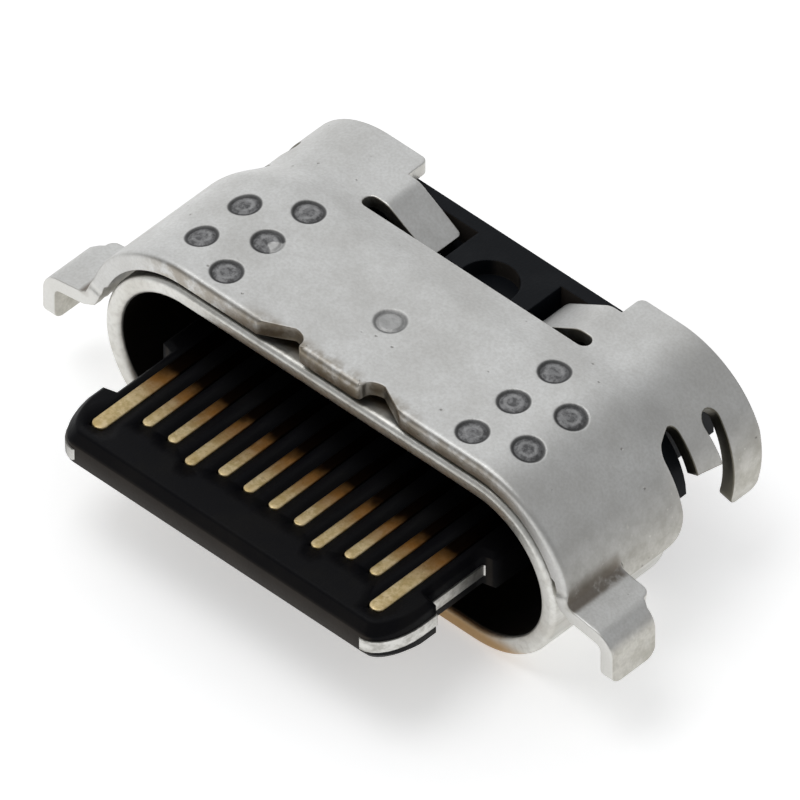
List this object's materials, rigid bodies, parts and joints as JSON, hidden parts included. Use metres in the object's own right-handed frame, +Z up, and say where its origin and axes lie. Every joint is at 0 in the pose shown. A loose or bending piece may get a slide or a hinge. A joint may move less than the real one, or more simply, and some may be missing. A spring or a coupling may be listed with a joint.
{
  "type": "usb-c socket",
  "caption": "Mid-mount reversible socket with a drawn shell, welded cover, exposed tongue and two rows of contacts.",
  "frame": {"origin": "middle of the mouth, on the front plane of the inner shell", "axes": "+X across the mouth, +Y into the socket, +Z up, away from the board"},
  "size_m": [0.0114, 0.0072, 0.0036],
  "materials": {
    "cover_steel": "satin",
    "shell_steel": "satin",
    "plate_steel": "satin",
    "tongue_plastic": "satin",
    "housing_plastic": "satin",
    "contact_gold": "satin"
  },
  "bodies": {
    "root": {"inner_shell": "shell_steel", "outer_cover": "cover_steel", "mid_plate": "plate_steel", "tongue": "tongue_plastic", "rear_housing": "housing_plastic", "shield_top": "plate_steel", "shield_bottom": "plate_steel", "contact_a1": "contact_gold", "contact_a2": "contact_gold", "contact_a3": "contact_gold", "contact_a4": "contact_gold", "contact_a5": "contact_gold", "contact_a6": "contact_gold", "contact_a7": "contact_gold", "contact_a8": "contact_gold", "contact_a9": "contact_gold", "contact_a10": "contact_gold", "contact_a11": "contact_gold", "contact_a12": "contact_gold", "contact_b1": "contact_gold", "contact_b2": "contact_gold", "contact_b3": "contact_gold", "contact_b4": "contact_gold", "contact_b5": "contact_gold", "contact_b6": "contact_gold", "contact_b7": "contact_gold", "contact_b8": "contact_gold", "contact_b9": "contact_gold", "contact_b10": "contact_gold", "contact_b11": "contact_gold", "contact_b12": "contact_gold"}
  },
  "joints": []
}
